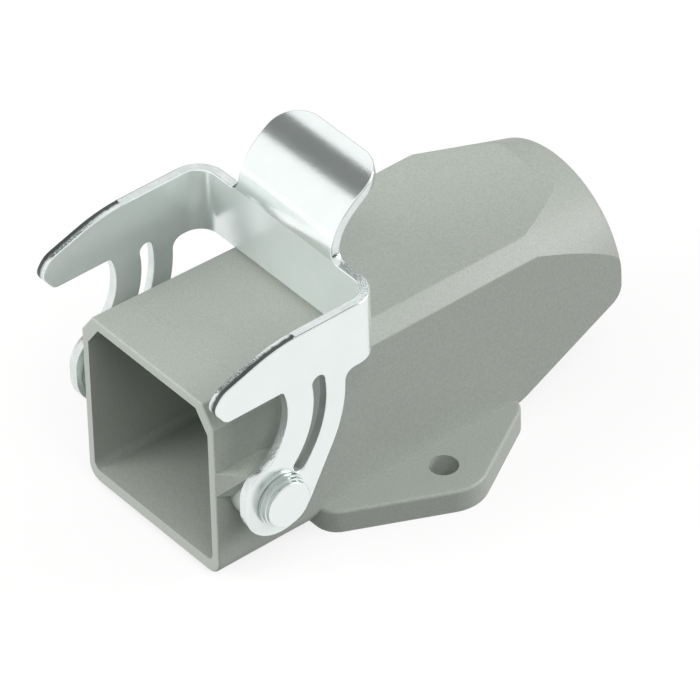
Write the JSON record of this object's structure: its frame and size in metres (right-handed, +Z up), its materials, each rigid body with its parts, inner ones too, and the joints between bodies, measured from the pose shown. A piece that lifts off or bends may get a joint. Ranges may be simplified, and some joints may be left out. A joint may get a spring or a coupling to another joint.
{
  "type": "connector housing",
  "caption": "Cast metal housing for a rectangular plug connector, with a flat mounting flange, a cable outlet beneath and a swinging sheet-metal locking lever.",
  "frame": {"origin": "midway between the flange's fixing holes, on the flange's underside", "axes": "+Z up, away from the surface it is fixed to; +Y along the plug axis towards the closed end; the mouth faces -Y; +X to the right seen from the mouth's side looking along +Y"},
  "size_m": [0.0398, 0.0616, 0.0421],
  "materials": {
    "housing_coat": "fine grey powder coat",
    "lever_zinc": "bright zinc plate",
    "rivet_zinc": "bright zinc plate"
  },
  "bodies": {
    "base": {"housing_body": "housing_coat", "pivot_rivet_right": "rivet_zinc", "pivot_rivet_left": "rivet_zinc"},
    "lever": {"locking_lever": "lever_zinc"}
  },
  "joints": [
    {"name": "lever_swing", "type": "hinge", "parent": "base", "child": "lever", "pos_m": [0, -0.0238, 0.0121], "axis": [1, 0, 0], "range_deg": [0, 70]}
  ]
}
